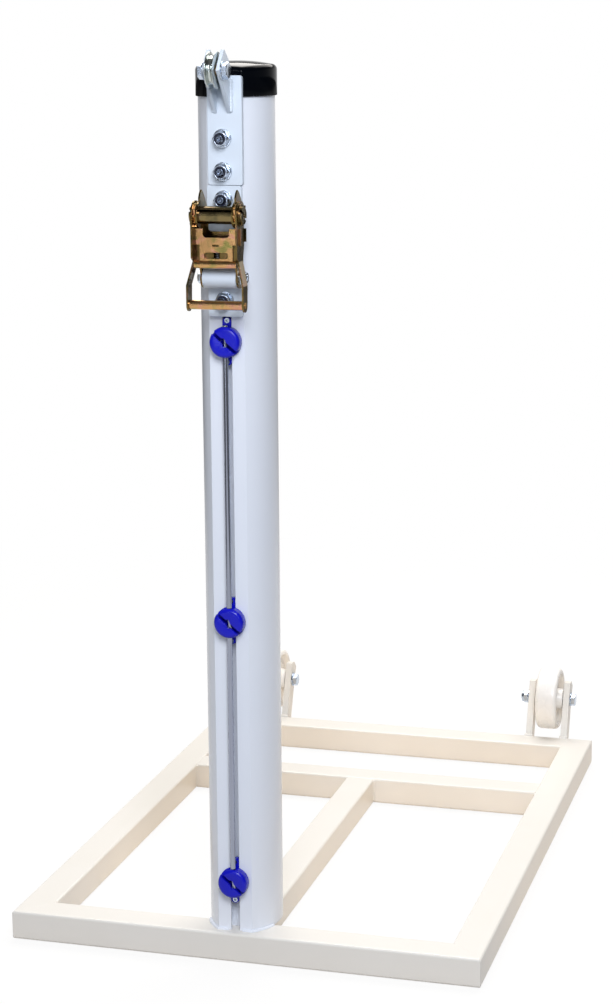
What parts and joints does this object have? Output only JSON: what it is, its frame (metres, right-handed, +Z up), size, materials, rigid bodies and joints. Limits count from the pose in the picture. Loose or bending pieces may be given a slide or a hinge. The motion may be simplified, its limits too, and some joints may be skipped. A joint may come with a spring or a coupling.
{
  "type": "tennis net post",
  "caption": "Free-standing tennis net post: white oval post with a cable pulley, ratchet tensioner and lacing rod in turning clips, on a tube floor frame with transport wheels.",
  "frame": {"origin": "on the floor under the post's axis, on the underside of the frame's middle rail", "axes": "+X to the right seen from the net side, +Y back along the floor frame away from the net, +Z up"},
  "size_m": [0.588, 0.976, 1.078],
  "materials": {
    "post_paint": "gloss powder coat",
    "frame_paint": "gloss powder coat",
    "cap_plastic": "gloss",
    "zinc_steel": "bright zinc plate",
    "yellow_zinc": "yellow passivated zinc plate",
    "rod_steel": "bare bright steel",
    "clip_plastic": "gloss",
    "wheel_nylon": "satin",
    "nut_nylon": "satin",
    "bush_brass": "satin",
    "spring_steel": "bright"
  },
  "bodies": {
    "stand": {"front_rail": "frame_paint", "rear_rail": "frame_paint", "left_rail": "frame_paint", "right_rail": "frame_paint", "cross_rail": "frame_paint", "middle_rail": "frame_paint", "wheel_ears": "frame_paint", "wheel_sleeves": "zinc_steel", "wheel_bolts": "zinc_steel", "wheel_nuts": "zinc_steel", "wheel_washers": "zinc_steel", "post": "post_paint", "end_cap": "cap_plastic", "pulley_bracket": "post_paint", "pulley_sleeve": "bush_brass", "pulley_bolt": "zinc_steel", "pulley_nut": "zinc_steel", "pulley_washers": "zinc_steel", "clamp_bolts": "zinc_steel", "clamp_nuts": "zinc_steel", "clamp_washers": "zinc_steel", "nut_inserts": "nut_nylon", "ratchet_plate": "post_paint", "ratchet_frame": "yellow_zinc", "anchor_bolt": "zinc_steel", "anchor_nut": "zinc_steel", "anchor_washer": "zinc_steel", "lock_spring": "spring_steel", "clip_slides": "clip_plastic", "clip_screws": "zinc_steel"},
    "left_transport_wheel": {"left_wheel": "wheel_nylon"},
    "right_transport_wheel": {"right_wheel": "wheel_nylon"},
    "pulley": {"pulley_wheel": "zinc_steel"},
    "handle": {"ratchet_handle": "yellow_zinc", "handle_grip": "yellow_zinc", "release_spring": "spring_steel"},
    "release": {"release_slider": "yellow_zinc"},
    "lock": {"lock_slider": "yellow_zinc"},
    "drum": {"drum_half_shafts": "yellow_zinc", "ratchet_gears": "yellow_zinc", "drum_washers": "yellow_zinc", "drum_pins": "yellow_zinc"},
    "upper_clip": {"top_clip": "clip_plastic"},
    "centre_clip": {"middle_clip": "clip_plastic"},
    "lower_clip": {"bottom_clip": "clip_plastic"},
    "rod": {"lacing_rod": "rod_steel"}
  },
  "joints": [
    {"name": "left_wheel_spin", "type": "hinge", "parent": "stand", "child": "left_transport_wheel", "pos_m": [-0.2095, 0.8255, 0.088], "axis": [1, 0, 0], "continuous": true},
    {"name": "right_wheel_spin", "type": "hinge", "parent": "stand", "child": "right_transport_wheel", "pos_m": [0.2325, 0.8255, 0.088], "axis": [1, 0, 0], "continuous": true},
    {"name": "pulley_spin", "type": "hinge", "parent": "stand", "child": "pulley", "pos_m": [0, -0.083, 1.0555], "axis": [1, 0, 0], "continuous": true},
    {"name": "drum_spin", "type": "hinge", "parent": "stand", "child": "drum", "pos_m": [0.0005, -0.078, 0.897], "axis": [1, 0, 0], "continuous": true},
    {"name": "handle_swing", "type": "hinge", "parent": "stand", "child": "handle", "pos_m": [0.0005, -0.078, 0.897], "axis": [-1, 0, 0], "range_deg": [0, 145]},
    {"name": "release_slide", "type": "slide", "parent": "handle", "child": "release", "axis": [0, 0, -1], "range_m": [0, 0.006], "stiffness_N_per_m": 400, "springref_m": -0.006, "deforming": ["release_spring"]},
    {"name": "lock_slide", "type": "slide", "parent": "stand", "child": "lock", "axis": [0, 0, -1], "range_m": [0, 0.005], "stiffness_N_per_m": 400, "springref_m": -0.006, "deforming": ["lock_spring"]},
    {"name": "upper_clip_turn", "type": "hinge", "parent": "stand", "child": "upper_clip", "pos_m": [0, -0.05, 0.751], "axis": [0, 1, 0], "range_deg": [0, 50]},
    {"name": "centre_clip_turn", "type": "hinge", "parent": "stand", "child": "centre_clip", "pos_m": [0, -0.05, 0.421], "axis": [0, 1, 0], "range_deg": [0, 50]},
    {"name": "lower_clip_turn", "type": "hinge", "parent": "stand", "child": "lower_clip", "pos_m": [0, -0.05, 0.099], "axis": [0, 1, 0], "range_deg": [0, 50]},
    {"name": "rod_slide", "type": "slide", "parent": "stand", "child": "rod", "axis": [0, 0, 1], "range_m": [-0.03, 0.005]}
  ]
}
